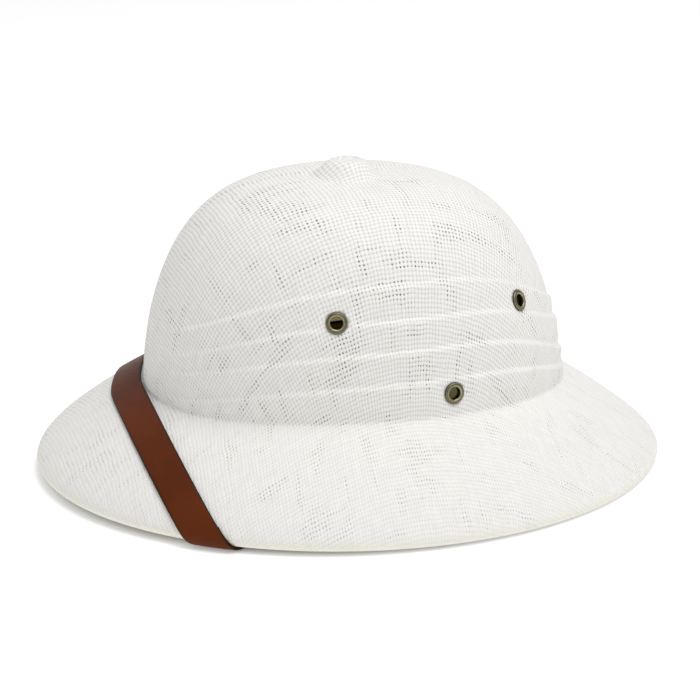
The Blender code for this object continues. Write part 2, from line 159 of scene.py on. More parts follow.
# Camera, as in the photograph
CAMERA_TURN = math.radians(16.155)
CAMERA_ELEVATION = math.radians(18.264)
CAMERA_DISTANCE = 1.3
CAMERA_AIM = (0.0, 0.0, 0.06)
CAMERA_WIDTH = 0.3588
CAMERA_SHIFT_UP = -0.0132
SENSOR = 36.0

# Width of the flat map of the weave
WEAVE_SPAN = 0.62


class StrawSettings(bpy.types.PropertyGroup):
    """What a user may change on the straw shell and its lining."""

    pleat_step: bpy.props.FloatProperty(
        name="Pleat step", description="How far each pleat stands out", default=0.0018,
        min=0.0, max=0.003, unit="LENGTH")
    thread_pitch: bpy.props.FloatProperty(
        name="Thread pitch", description="Distance from one straw thread to the next",
        default=0.00225, min=0.001, max=0.006, unit="LENGTH")
    straw_colour: bpy.props.FloatVectorProperty(
        name="Straw", description="Colour of the bleached straw", subtype="COLOR", size=4,
        default=(0.860, 0.850, 0.820, 1.0), min=0.0, max=1.0)
    rim_colour: bpy.props.FloatVectorProperty(
        name="Rim", description="Creamier colour of the straw at the rolled rim",
        subtype="COLOR", size=4, default=(0.850, 0.835, 0.765, 1.0), min=0.0, max=1.0)
    # Painted shade: the pinholes are painted dark for the shade seen through the gaps in the
    # weave.
    pinhole_painted_shade: bpy.props.FloatVectorProperty(
        name="Pinholes", description="Colour of the small gaps in the weave",
        subtype="COLOR", size=4, default=(0.07, 0.065, 0.055, 1.0), min=0.0, max=1.0)
    lining_colour: bpy.props.FloatVectorProperty(
        name="Lining", description="Colour of the cloth under the brim and inside the crown",
        subtype="COLOR", size=4, default=(0.36, 0.34, 0.17, 1.0), min=0.0, max=1.0)

    # Painted light: the lining's cloth glows to stand in for the light that reaches the
    # underside of the brim.
    lining_painted_light: bpy.props.FloatProperty(
        name="Lining glow", description="Daylight that comes through the straw brim",
        default=0.45, min=0.0, max=2.0)


class StrapSettings(bpy.types.PropertyGroup):
    """What a user may change on the leather strap."""

    width: bpy.props.FloatProperty(
        name="Width", description="Width of the strap", default=0.0170, min=0.01,
        max=0.025, unit="LENGTH")
    leather_colour: bpy.props.FloatVectorProperty(
        name="Leather", description="Colour of the leather's face", subtype="COLOR",
        size=4, default=(0.098, 0.021, 0.0040, 1.0), min=0.0, max=1.0)
    edge_colour: bpy.props.FloatVectorProperty(
        name="Edge", description="Colour of the stained cut edges", subtype="COLOR",
        size=4, default=(0.016, 0.007, 0.004, 1.0), min=0.0, max=1.0)


class BrassSettings(bpy.types.PropertyGroup):
    """What a user may change on the eyelets and rivets."""

    brass_colour: bpy.props.FloatVectorProperty(
        name="Brass", description="Colour of the rubbed antique brass", subtype="COLOR",
        size=4, default=(0.42, 0.37, 0.21, 1.0), min=0.0, max=1.0)
    tarnish_colour: bpy.props.FloatVectorProperty(
        name="Tarnish", description="Colour of the dark tarnish in the hollows",
        subtype="COLOR", size=4, default=(0.035, 0.030, 0.020, 1.0), min=0.0, max=1.0)


class StageSettings(bpy.types.PropertyGroup):
    """What a user may change on the floor and the lights."""

    floor_colour: bpy.props.FloatVectorProperty(
        name="Floor", description="Colour of the plain floor", subtype="COLOR", size=4,
        default=(0.70, 0.70, 0.70, 1.0), min=0.0, max=1.0)
    floor_glow: bpy.props.FloatProperty(
        name="Floor glow", description="Light the floor gives off, which whitens it",
        default=0.47, min=0.0, max=2.0)
    key_power: bpy.props.FloatProperty(
        name="Key light", description="Power of the large soft light in watts",
        default=18.0, min=0.0, max=500.0)
    sky_strength: bpy.props.FloatProperty(
        name="Sky", description="Strength of the even white surroundings", default=0.53,
        min=0.0, max=5.0)


def smooth_step(value, start, end):
    """Rises smoothly from 0 at start to 1 at end: three times the share squared less
    twice the share cubed."""
    share = np.clip((value - start) / (end - start), 0.0, 1.0)
    return share * share * (3.0 - 2.0 * share)


def crease_height(turn):
    """The crease's height: a mean, a cosine tilt to the front and a rise at the sides."""
    return (CREASE_HEIGHT + CREASE_FORWARD_RISE * np.cos(turn)
            - CREASE_SIDE_RISE * np.cos(2.0 * turn))


def rim_centre(turn):
    """Height of the rolled rim's centre. The front stands up so far that the strap fits
    under the rim's sides, and the back rests on the narrow flat under the roll."""
    dip = RIM_SIDE_DIP * math.sin(STRAP_RIM_TURN) ** 2
    lift = (STRAP_CLEARANCE + STRAP_THICKNESS + dip) / (0.5 * (1.0 + math.cos(STRAP_RIM_TURN)))
    bottom = lift * 0.5 * (1.0 + np.cos(turn)) - RIM_SIDE_DIP * np.sin(turn) ** 2
    return bottom + RIM_RADIUS * math.cos(math.radians(0.5 * RIM_FLAT))


def section_frame(turn):
    """Plan place of the crease at a turn, the plan direction out to the rim, and the
    distance between the crease's ellipse and the rim's ellipse."""
    crease_x = 0.5 * CROWN_WIDTH * np.sin(turn)
    crease_y = CROWN_SET_BACK - 0.5 * CROWN_LENGTH * np.cos(turn)
    gap_x = 0.5 * BRIM_WIDTH * np.sin(turn) - crease_x
    gap_y = -0.5 * BRIM_LENGTH * np.cos(turn) - crease_y
    reach = np.hypot(gap_x, gap_y)
    return crease_x, crease_y, gap_x / reach, gap_y / reach, reach


def brim_section(turn, share, sunk=0.0):
    """Reach and height on the brim at a share of a quarter turn: the reach goes with the
    sine, and the fall with part sine and part one less cosine, so the brim ends upright.
    The point is sunk below the surface along its normal, which comes with it."""
    reach = section_frame(turn)[4]
    angle = share * 0.5 * np.pi
    top = crease_height(turn)
    fall = top - rim_centre(turn)
    straight = BRIM_STRAIGHT_SHARE - BRIM_STRAIGHT_BACK_GAIN * np.cos(turn)
    out = reach * np.sin(angle)
    up = top - fall * (straight * np.sin(angle) + (1.0 - straight) * (1.0 - np.cos(angle)))
    slope_out = reach * np.cos(angle)
    slope_down = fall * (straight * np.cos(angle) + (1.0 - straight) * np.sin(angle))
    size = np.hypot(slope_out, slope_down)
    normal_out, normal_up = slope_down / size, slope_out / size
    return out - sunk * normal_out, up - sunk * normal_up, normal_out, normal_up


def rim_section(turn, degrees, radius):
    """Reach and height round the rolled rim: a circle from its outer side, down and in."""
    angle = np.radians(degrees)
    reach = section_frame(turn)[4]
    return (reach - RIM_RADIUS + radius * np.cos(angle),
            rim_centre(turn) - radius * np.sin(angle))


def in_space(turn, out, up):
    """A reach and a height at a turn as points, the last axis being X, Y and Z."""
    x, y, out_x, out_y, _ = section_frame(turn)
    return np.stack(np.broadcast_arrays(x + out_x * out, y + out_y * out, up), -1)


def smooth_crown(turn, height, button=BUTTON_HEIGHT):
    """The crown without pleats: at a share of the height, the crease's ellipse is shrunk
    to (1 - height ** rise) ** (1 / round) and moved forward by the lean, and a button
    stands on the top of it."""
    height = np.minimum(height, 1.0)
    share = (1.0 - height ** DOME_RISE_POWER) ** (1.0 / DOME_ROUND_POWER)
    plan_x = 0.5 * CROWN_WIDTH * share * np.sin(turn)
    plan_y = -0.5 * CROWN_LENGTH * share * np.cos(turn)
    low = crease_height(turn)
    level = low + (CREASE_HEIGHT + CROWN_HEIGHT - low) * height
    radius = np.hypot(plan_x, plan_y)
    level = level + button * smooth_step(
        radius, 0.5 * BUTTON_DIAMETER, 0.18 * BUTTON_DIAMETER)
    y = CROWN_SET_BACK - CROWN_LEAN * height + plan_y
    return np.stack(np.broadcast_arrays(plan_x, y, level), -1)


def unit(vectors):
    """Vectors brought to length 1."""
    return vectors / np.linalg.norm(vectors, axis=-1, keepdims=True)


def eyelet_frames():
    """Name, place and outward direction of each eyelet, from two small steps over the
    smooth crown, on the left and mirrored to the right."""
    frames = []
    small = 0.002
    for side, sign in (("left", 1.0), ("right", -1.0)):
        for place in EYELET_PLACES:
            turn, height = math.radians(place["turn"]), place["height"]
            centre = smooth_crown(turn, height)
            along = smooth_crown(turn + small, height) - centre
            upward = smooth_crown(turn, height + small) - centre
            normal = unit(np.cross(along, upward))
            flip = np.array((sign, 1.0, 1.0))
            frames.append((f"eyelet_{side}_{place['name']}", centre * flip, normal * flip))
    return frames


def pleat_edges(turn):
    """Heights of the four pleat edges at each turn: highest a little behind the side, and
    falling to front and back with a power of the cosine."""
    forward = np.cos(turn) + PLEAT_TOP_SHIFT
    ahead = np.maximum(forward, 0.0) / (1.0 + PLEAT_TOP_SHIFT)
    behind = np.maximum(-forward, 0.0) / (1.0 - PLEAT_TOP_SHIFT)
    edges = [CREASE_HEIGHT + CROWN_HEIGHT * (
        row["height"] - row["front_drop"] * ahead ** PLEAT_POWER
        - row["back_drop"] * behind ** PLEAT_POWER) for row in PLEATS]
    edges[-1] = np.maximum(edges[-1], crease_height(turn) + LOWEST_PLEAT_ABOVE_CREASE)
    return np.array(edges)


def pleat_relief(level, turn, edges):
    """How far the pleats stand out, as a share of their step. Going down, the surface
    jumps from half a step in to half a step out over each edge's lip, then slopes evenly
    back in to the next edge. It eases to nothing above the first and below the last."""
    low = crease_height(turn)
    result = -0.5 * np.exp(-np.maximum(level - edges[0], 0.0) / PLEAT_UPPER_FADE)
    for index in range(len(PLEATS)):
        edge = edges[index]
        if index + 1 < len(PLEATS):
            slope = np.clip((edge - level) / (edge - edges[index + 1]), 0.0, 1.0)
        else:
            slope = 0.5 * np.clip((edge - level) / (edge - low), 0.0, 1.0)
        jump = smooth_step(edge - level, -0.5 * PLEAT_LIP, 0.5 * PLEAT_LIP)
        result = result + jump - slope
    return result


def pleated_crown(turn, level, edges, step):
    """A crown point at a height over the floor, pushed straight out by the pleats. They
    fade out towards the front and round the eyelets."""
    low = crease_height(turn)
    point = smooth_crown(turn, (level - low) / (CREASE_HEIGHT + CROWN_HEIGHT - low))
    from_front = np.degrees(np.arccos(np.cos(turn)))
    push = step * smooth_step(from_front, PLEAT_FADE_START, PLEAT_FADE_END)
    push = push * pleat_relief(level, turn, edges)
    for _, centre, _ in eyelet_frames():
        distance = np.linalg.norm(point - centre, axis=-1)
        push = push * smooth_step(distance, 0.5 * EYELET_FLANGE_DIAMETER, EYELET_FLAT_RADIUS)
    outward = np.stack((point[..., 0] / CROWN_WIDTH ** 2,
                        (point[..., 1] - CROWN_SET_BACK) / CROWN_LENGTH ** 2,
                        np.zeros_like(point[..., 0])), -1)
    size = np.maximum(np.linalg.norm(outward, axis=-1, keepdims=True), 1e-9)
    return point + outward / size * push[..., None]


def outer_straw(turn, step):
    """Rows of the straw's outer side from near the top to the end of the rolled rim.

    The dome's rows go down with the cosine of an angle that grows as a power of the row,
    which spaces them evenly. Rows lie close over each pleat's lip and even between the
    pleats, then round the fillet, down the brim and round the roll.
    """
    edges = pleat_edges(turn)
    low = crease_height(turn)
    crown = CREASE_HEIGHT + CROWN_HEIGHT - low
    first = edges[0] + LIP_OFFSETS[0] * PLEAT_LIP
    last_angle = np.arccos(((first - low) / crown) ** (0.5 * DOME_RISE_POWER))
    rows = (np.arange(1, DOME_ROWS) / DOME_ROWS)[:, None]
    angle = last_angle * rows ** (0.5 * DOME_ROUND_POWER)
    levels = [low + crown * np.cos(angle) ** (2.0 / DOME_RISE_POWER)]
    for index, edge in enumerate(edges):
        lip = edge + PLEAT_LIP * np.array(LIP_OFFSETS)[:, None]
        below = (edges[index + 1] + LIP_OFFSETS[0] * PLEAT_LIP
                 if index + 1 < len(edges) else low + CREASE_FILLET)
        share = (np.arange(1, BAND_ROWS + 1) / (BAND_ROWS + 1))[:, None]
        levels += [lip, lip[-1] + (below - lip[-1]) * share]
    levels.append((low + CREASE_FILLET)[None, :])
    crown_rows = pleated_crown(turn, np.concatenate(levels), edges, step)
    start = 2.0 / np.pi * np.arcsin(0.9 * CREASE_FILLET / section_frame(turn)[4])
    slope = in_space(turn, *brim_section(turn, start)[:2])
    corner = in_space(turn, *brim_section(turn, 0.0)[:2])
    share = (np.arange(1, 6) / 6.0)[:, None, None]
    fillet = ((1 - share) ** 2 * crown_rows[-1] + 2 * share * (1 - share) * corner
              + share ** 2 * slope)
    share = np.linspace(0.0, 1.0, BRIM_ROWS)[:, None]
    brim = in_space(turn, *brim_section(turn, start + (1.0 - start) * share)[:2])
    degrees = np.linspace(0.0, RIM_ROLL, ROLL_ROWS + 1)[1:, None]
    roll = in_space(turn, *rim_section(turn, degrees, RIM_RADIUS))
    return np.concatenate((crown_rows, fillet, brim, roll))


def inner_straw(turn):
    """Rows of the straw's inner side: back round the inside of the roll, up under the brim
    one wall below its surface, and up the crown one wall inside it."""
    degrees = np.linspace(RIM_ROLL, 0.0, INNER_ROLL_ROWS)[:, None]
    roll = in_space(turn, *rim_section(turn, degrees, RIM_RADIUS - STRAW_WALL))
    share = np.linspace(0.98, 0.03, INNER_ROWS)[:, None]
    under = in_space(turn, *brim_section(turn, share, STRAW_WALL)[:2])
    row = np.linspace(1.0, 0.04, 2 * INNER_ROWS)[:, None]
    angle = 0.5 * np.pi * row ** (0.5 * DOME_ROUND_POWER)
    height = np.maximum(np.cos(angle), 0.0) ** (2.0 / DOME_RISE_POWER)
    grid = smooth_crown(turn, height, 0.0)
    along = np.roll(grid, -1, axis=1) - np.roll(grid, 1, axis=1)
    upward = np.gradient(grid, axis=0)
    crown = grid - STRAW_WALL * unit(np.cross(along, upward))
    return np.concatenate((roll, under, crown))


def grid_faces(rows, columns, closed_rows=False):
    """Quads of a grid that closes round its columns, and if asked, round its rows too."""
    last = rows if closed_rows else rows - 1
    row, column = np.meshgrid(np.arange(last), np.arange(columns), indexing="ij")
    after, below = (column + 1) % columns, (row + 1) % rows
    quads = np.stack((row * columns + column, below * columns + column,
                      below * columns + after, row * columns + after), -1)
    return quads.reshape(-1, 4)


def new_piece(name, points, quads, fans=()):
    """A mesh object at the origin from points, quads and closing fans round one point."""
    faces = quads.tolist() + [face for fan in fans for face in fan]
    mesh = bpy.data.meshes.new(name)
    mesh.from_pydata(points.reshape(-1, 3).tolist(), [], faces)
    mesh.update()
    mesh.shade_smooth()
    piece = bpy.data.objects.new(name, mesh)
    bpy.context.scene.collection.objects.link(piece)
    return piece


def fan(centre, ring, outward):
    """Triangles from a centre to a ring of point numbers."""
    after = np.roll(ring, -1)
    pairs = np.stack((np.full(len(ring), centre), ring, after), -1)
    return (pairs if outward else pairs[:, ::-1]).tolist()


def set_map(piece, name, places):
    """Writes one place for each point into a UV map."""
    mesh = piece.data
    corner = np.zeros(len(mesh.loops), np.int32)
    mesh.loops.foreach_get("vertex_index", corner)
    layer = mesh.uv_layers.new(name=name)
    layer.data.foreach_set("uv", places[corner].astype(np.float32).ravel())


def set_value(piece, name, values):
    """Writes one number for each point into an attribute."""
    layer = piece.data.attributes.new(name, "FLOAT", "POINT")
    layer.data.foreach_set("value", values.astype(np.float32).ravel())


class Graph:
    """A material's nodes, added and joined in one call each."""

    def __init__(self, name):
        self.material = bpy.data.materials.new(name)
        self.material.use_nodes = True
        self.nodes = self.material.node_tree.nodes
        self.links = self.material.node_tree.links
        self.shader = self.nodes["Principled BSDF"]

    def add(self, kind, inputs=(), **settings):
        """A node with its settings and inputs."""
        node = self.nodes.new(kind)
        for key, value in settings.items():
            setattr(node, key, value)
        for key, value in dict(inputs).items():
            self.put(node.inputs[key], value)
        return node

    def put(self, socket, value):
        """Joins a socket to another socket, or gives it a value."""
        if isinstance(value, bpy.types.NodeSocket):
            self.links.new(value, socket)
        else:
            socket.default_value = value

    def math(self, operation, *values):
        """One sum or function of numbers."""
        node = self.add("ShaderNodeMath", operation=operation)
        for socket, value in zip(node.inputs, values):
            self.put(socket, value)
        return node.outputs[0]

    def ramp(self, value, low, high, start=0.0, end=1.0):
        """A smooth step of a value, from start at low to end at high."""
        return self.add("ShaderNodeMapRange", {
            "Value": value, "From Min": low, "From Max": high, "To Min": start,
            "To Max": end}, interpolation_type="SMOOTHSTEP").outputs[0]

    def mix(self, factor, first, second, blend="MIX"):
        """A mix of two colours."""
        node = self.add("ShaderNodeMix", data_type="RGBA", blend_type=blend)
        self.put(node.inputs["Factor"], factor)
        self.put(node.inputs[6], first)
        self.put(node.inputs[7], second)
        return node.outputs[2]

    def noise(self, vector, scale, detail=2.0, roughness=0.5):
        """Soft random spots."""
        return self.add("ShaderNodeTexNoise", {
            "Vector": vector, "Scale": scale, "Detail": detail, "Roughness": roughness})

    def stretch(self, vector, scales):
        """A vector times three scales."""
        return self.add("ShaderNodeVectorMath", {0: vector, 1: scales},
                        operation="MULTIPLY").outputs[0]

    def shift(self, vector, other):
        """The sum of two vectors."""
        return self.add("ShaderNodeVectorMath", {0: vector, 1: other},
                        operation="ADD").outputs[0]

    def bump(self, height, strength, distance):
        """A normal that follows a height."""
        inputs = {"Height": height, "Strength": strength, "Distance": distance}
        return self.add("ShaderNodeBump", inputs).outputs[0]


def weave(graph, vector, pitch):
    """Height and pinholes of a plain weave on a flat map in metres.

    With sines of the two directions, the strands are round across themselves as a power
    of the sine's size, the sign of their product says which strand is on top, and the
    pinholes are where both sines are near nothing.
    """
    angle = graph.add("ShaderNodeSeparateXYZ", {
        0: graph.stretch(vector, (math.pi / pitch,) * 3)})
    first = graph.math("SINE", angle.outputs[0])
    second = graph.math("SINE", angle.outputs[1])
    on_top = graph.ramp(graph.math("MULTIPLY", first, second), -0.18, 0.18)
    first, second = graph.math("ABSOLUTE", first), graph.math("ABSOLUTE", second)
    warp = graph.math("MULTIPLY", graph.math("POWER", first, 0.6),
                      graph.math("MULTIPLY_ADD", second, 0.5, 0.5))
    weft = graph.math("MULTIPLY", graph.math("POWER", second, 0.6),
                      graph.math("MULTIPLY_ADD", first, 0.5, 0.5))
    gap = graph.math("SUBTRACT", warp, weft)
    height = graph.math("MULTIPLY_ADD", gap, on_top, weft)
    hole = graph.ramp(graph.math("MAXIMUM", first, second), 0.38, 0.66, 1.0, 0.0)
    return height, hole


def straw_material(settings):
    """Bleached straw: a wavering open weave, pinholes painted dark for the shade seen
    through them, which open in drifts along the threads, painted shade and highlight on
    the weave's relief, and a smoother and creamier rolled rim."""
    graph = Graph("bleached_straw")
    flat = graph.stretch(graph.add("ShaderNodeUVMap", uv_map="weave").outputs[0],
                         (WEAVE_SPAN,) * 3)
    waver = graph.noise(flat, 80.0, 3.0).outputs["Color"]
    waver = graph.stretch(graph.shift(waver, (-0.5, -0.5, -0.5)), (0.0028, 0.0028, 0.0))
    place = graph.shift(flat, waver)
    height, hole = weave(graph, place, settings.thread_pitch)
    rim = graph.add("ShaderNodeAttribute", attribute_name="rim").outputs["Fac"]
    brim = graph.add("ShaderNodeAttribute", attribute_name="brim").outputs["Fac"]

    along_warp = graph.noise(graph.stretch(place, (95.0, 24.0, 1.0)), 1.0, 1.5).outputs[0]
    along_weft = graph.noise(graph.stretch(place, (26.0, 90.0, 1.0)), 1.0, 1.5).outputs[0]
    drift = graph.math("MAXIMUM", graph.ramp(along_warp, 0.57, 0.66),
                       graph.ramp(along_weft, 0.60, 0.69))
    patch = graph.ramp(graph.noise(place, 620.0, 0.0).outputs[0], 0.40, 0.62)
    drift = graph.math("MULTIPLY", drift, graph.math("MULTIPLY_ADD", patch, 0.75, 0.25))
    open_share = graph.math("MULTIPLY_ADD", drift, 0.90, 0.10)
    open_share = graph.math("MULTIPLY", open_share,
                            graph.math("MULTIPLY_ADD", brim, -0.45, 1.0))
    open_share = graph.math("MULTIPLY", open_share,
                            graph.math("MULTIPLY_ADD", rim, -0.9, 1.0))
    # Painted shade: how strongly each pinhole is painted dark, for the shade seen through the
    # gap.
    dark = graph.math("MULTIPLY", hole, open_share)

    tone = graph.noise(graph.stretch(place, (420.0, 60.0, 1.0)), 1.0, 1.0).outputs[0]
    cross = graph.noise(graph.stretch(place, (60.0, 420.0, 1.0)), 1.0, 1.0).outputs[0]
    # Random tone of the straw, multiplied below by painted shade between the threads and a
    # painted highlight on their crests, flatter on the brim.
    tone_and_painted_shade = graph.math("MULTIPLY_ADD", graph.math("ADD", tone, cross), 0.10, 0.90)
    relief_shade = graph.ramp(height, 0.10, 0.85, 0.84, 1.03)
    flatter = graph.math("MULTIPLY_ADD", relief_shade, 0.4, 0.6)
    relief_shade = graph.add("ShaderNodeMix", {0: brim, 2: relief_shade, 3: flatter}).outputs[0]
    tone_and_painted_shade = graph.math("MULTIPLY", tone_and_painted_shade, relief_shade)
    base = graph.mix(rim, tuple(settings.straw_colour), tuple(settings.rim_colour))
    grey = graph.add("ShaderNodeCombineColor", {0: tone_and_painted_shade, 1: tone_and_painted_shade, 2: tone_and_painted_shade}).outputs[0]
    base = graph.mix(1.0, base, grey, "MULTIPLY")
    # Painted shade: the pinholes take the dark pinhole colour.
    base = graph.mix(dark, base, tuple(settings.pinhole_painted_shade))
    graph.put(graph.shader.inputs["Base Color"], base)
    graph.shader.inputs["Roughness"].default_value = 0.62
    graph.shader.inputs["Specular IOR Level"].default_value = 0.35
    depth = graph.math("MULTIPLY_ADD", dark, -1.2, height)
    strength = graph.math("MULTIPLY_ADD", rim, -0.35, 0.62)
    graph.put(graph.shader.inputs["Normal"], graph.bump(depth, strength, 0.00028))
    return graph.material


def cloth_material(name, colour, pitch):
    """Olive cotton: a fine twill on Object coordinates with soft worn patches, and painted shade
    in the twill's grooves.
    """
    graph = Graph(name)
    place = graph.add("ShaderNodeTexCoord").outputs["Object"]
    rib = graph.add("ShaderNodeSeparateXYZ", {0: graph.stretch(place, (math.pi / pitch,) * 3)})
    twill = graph.math("SINE", graph.math("ADD", rib.outputs[0], rib.outputs[1]))
    cross = graph.math("SINE", graph.math("MULTIPLY", rib.outputs[1], 2.0))
    height = graph.math("MULTIPLY_ADD", twill, 0.5, graph.math("MULTIPLY", cross, 0.3))
    worn = graph.noise(place, 60.0, 4.0).outputs[0]
    dark = tuple(channel * 0.72 for channel in colour[:3]) + (1.0,)
    light = tuple(min(1.0, channel * 1.25) for channel in colour[:3]) + (1.0,)
    tone_and_painted_shade = graph.mix(graph.ramp(worn, 0.35, 0.65), dark, light)
    # Painted shade in the twill's grooves, from its height.
    tone_and_painted_shade = graph.mix(graph.ramp(height, -0.6, 0.6, 0.35, 0.0), tone_and_painted_shade, dark)
    graph.put(graph.shader.inputs["Base Color"], tone_and_painted_shade)
    graph.shader.inputs["Roughness"].default_value = 0.9
    graph.shader.inputs["Sheen Weight"].default_value = 0.2
    graph.put(graph.shader.inputs["Normal"], graph.bump(height, 0.4, 0.0002))
    return graph.material


def leather_material(settings):
    """Brown leather: pebbled grain with painted shade in the creases between its pebbles,
    redder patches on Object coordinates, and dark stained edges from the strap's own attribute."""
    graph = Graph("brown_leather")
    place = graph.add("ShaderNodeTexCoord").outputs["Object"]
    pebble = graph.add("ShaderNodeTexVoronoi", {"Vector": place, "Scale": 1150.0},
                       feature="DISTANCE_TO_EDGE").outputs["Distance"]
    pebble = graph.ramp(pebble, 0.0, 0.35)
    fine = graph.noise(place, 2400.0, 3.0).outputs[0]
    broad = graph.noise(place, 22.0, 3.0).outputs[0]
    colour = tuple(settings.leather_colour)
    red = (min(1.0, colour[0] * 1.25), colour[1] * 1.2, colour[2] * 1.3, 1.0)
    deep = tuple(channel * 0.82 for channel in colour[:3]) + (1.0,)
    base = graph.mix(graph.ramp(broad, 0.35, 0.68), deep, red)
    # Painted shade in the creases between the pebbles of the grain.
    base = graph.mix(graph.ramp(pebble, 0.0, 0.5, 0.30, 0.0), base, deep)
    edge = graph.add("ShaderNodeAttribute", attribute_name="edge").outputs["Fac"]
    base = graph.mix(edge, base, tuple(settings.edge_colour))
    graph.put(graph.shader.inputs["Base Color"], base)
    graph.shader.inputs["Specular IOR Level"].default_value = 0.08
    graph.put(graph.shader.inputs["Roughness"], graph.ramp(fine, 0.3, 0.7, 0.36, 0.50))
    height = graph.math("MULTIPLY_ADD", pebble, 0.7, graph.math("MULTIPLY", fine, 0.5))
    graph.put(graph.shader.inputs["Normal"], graph.bump(height, 0.30, 0.00022))
    return graph.material


def brass_material(settings):
    """Antique brass: tarnished in the hollows and speckled, rubbed bright on the crest."""
    graph = Graph("antique_brass")
    place = graph.add("ShaderNodeTexCoord").outputs["Object"]
    speckle = graph.noise(place, 900.0, 4.0, 0.6).outputs[0]
    crest = graph.add("ShaderNodeAttribute", attribute_name="crest").outputs["Fac"]
    rubbed = graph.math("MULTIPLY", crest, graph.ramp(speckle, 0.25, 0.55, 0.55, 1.0))
    graph.put(graph.shader.inputs["Base Color"], graph.mix(
        rubbed, tuple(settings.tarnish_colour), tuple(settings.brass_colour)))
    graph.shader.inputs["Metallic"].default_value = 0.85
    graph.put(graph.shader.inputs["Roughness"], graph.ramp(speckle, 0.3, 0.7, 0.30, 0.52))
    graph.put(graph.shader.inputs["Normal"], graph.bump(speckle, 0.15, 0.0002))
    return graph.material


def plain_material(name, colour, roughness):
    """One even colour."""
    graph = Graph(name)
    graph.shader.inputs["Base Color"].default_value = colour
    graph.shader.inputs["Roughness"].default_value = roughness
    return graph.material


def turned_points(profile, centre, normal):
    """A profile of radius and height carried round an axis: radius times the cosine and
    sine of the angle on two cross directions, plus the height along the axis."""
    normal = unit(np.asarray(normal, float))
    side = unit(np.cross((0.0, 0.0, 1.0), normal))
    other = np.cross(normal, side)
    angle = 2.0 * np.pi * np.arange(TURNED_SIDES) / TURNED_SIDES
    radius, height = np.array(profile).T[:, :, None]
    return (centre + radius[..., None] * (np.cos(angle)[None, :, None] * side
            + np.sin(angle)[None, :, None] * other) + height[..., None] * normal)


def seat_profile():
    """What an eyelet takes out of the straw: two flat seats and a hole."""
    hole = 0.5 * EYELET_HOLE_DIAMETER + EYELET_BARREL_WALL + CLEARANCE
    front = 0.5 * EYELET_FLANGE_DIAMETER + CLEARANCE
    back = 0.5 * EYELET_BACK_FLANGE_DIAMETER + CLEARANCE
    high = 0.5 * EYELET_FLANGE_DIAMETER
    seat, rear = -EYELET_SEAT_SINK, -EYELET_SEAT_SINK - EYELET_GRIP
    return [(front, high), (front, seat), (hole, seat), (hole, rear), (back, rear),
            (back, -high)]


def cut_seats(piece):
    """Cuts the eyelets' seats out of the shell and keeps the result as its mesh."""
    profile = seat_profile()
    rows = len(profile)
    points, faces = [], []
    for _, centre, normal in eyelet_frames():
        start = sum(len(part) for part in points)
        part = turned_points(profile, centre, normal).reshape(-1, 3)
        points.append(part)
        quads = grid_faces(rows, TURNED_SIDES) + start
        faces += quads.tolist()
        faces.append((start + np.arange(TURNED_SIDES)).tolist())
        last = start + (rows - 1) * TURNED_SIDES
        faces.append((last + np.arange(TURNED_SIDES))[::-1].tolist())
    mesh = bpy.data.meshes.new("seat_cutter")
    mesh.from_pydata(np.concatenate(points).tolist(), [], faces)
    cutter = bpy.data.objects.new("seat_cutter", mesh)
    bpy.context.scene.collection.objects.link(cutter)
    tool = piece.modifiers.new("seats", "BOOLEAN")
    tool.operation = "DIFFERENCE"
    tool.solver = "EXACT"
    tool.object = cutter
    graph = bpy.context.evaluated_depsgraph_get()
    cut = bpy.data.meshes.new_from_object(piece.evaluated_get(graph))
    piece.modifiers.clear()
    piece.data = cut
    bpy.data.objects.remove(cutter)


def strap_sheet(turn, along):
    """The surface that the strap lies on. Along runs from 0 to 1 over the brim, from 1 to
    2 round the roll, and from 2 to 3 back to the lining near the crease, where a parabola
    joins the way the strap leaves the roll to the way it lies on the lining."""
    turn, along = np.broadcast_arrays(turn, along)
    radius = RIM_RADIUS + STRAP_CLEARANCE
    top_out, top_up, _, _ = brim_section(turn, np.minimum(along, 1.0), -STRAP_CLEARANCE)
    degrees = (np.clip(along, 1.0, 2.0) - 1.0) * STRAP_LEAVE_ANGLE
    roll_out, roll_up = rim_section(turn, degrees, radius)
    start = np.stack(rim_section(turn, STRAP_LEAVE_ANGLE, radius), -1)
    depth = STRAW_WALL + CLEARANCE + LINING_WALL + STRAP_END_CLEARANCE
    end_out, end_up, normal_out, normal_up = brim_section(turn, STRAP_END_SHARE, depth)
    end = np.stack((end_out, end_up), -1)
    lean = math.radians(STRAP_LEAVE_ANGLE - 90.0)
    rise = np.array((-math.cos(lean), math.sin(lean)))
    back = np.stack((normal_up, -normal_out), -1)
    gap = end - start
    cross = rise[0] * back[..., 1] - rise[1] * back[..., 0]
    length = (gap[..., 0] * back[..., 1] - gap[..., 1] * back[..., 0]) / cross
    knee = start + rise * length[..., None]
    share = np.maximum(along - 2.0, 0.0)[..., None]
    under = (1 - share) ** 2 * start + 2 * share * (1 - share) * knee + share ** 2 * end
    out = np.where(along <= 1.0, top_out, np.where(along <= 2.0, roll_out, under[..., 0]))
    up = np.where(along <= 1.0, top_up, np.where(along <= 2.0, roll_up, under[..., 1]))
    return in_space(turn, out, up)


def sheet_steps(turn, along):
    """Place, slopes and normal of the strap's surface from two small steps."""
    small = 0.0005
    point = strap_sheet(turn, along)
    by_turn = (strap_sheet(turn + small, along) - point) / small
    by_along = (strap_sheet(turn, along + small) - point) / small
    return point, by_turn, by_along, unit(np.cross(by_along, by_turn))


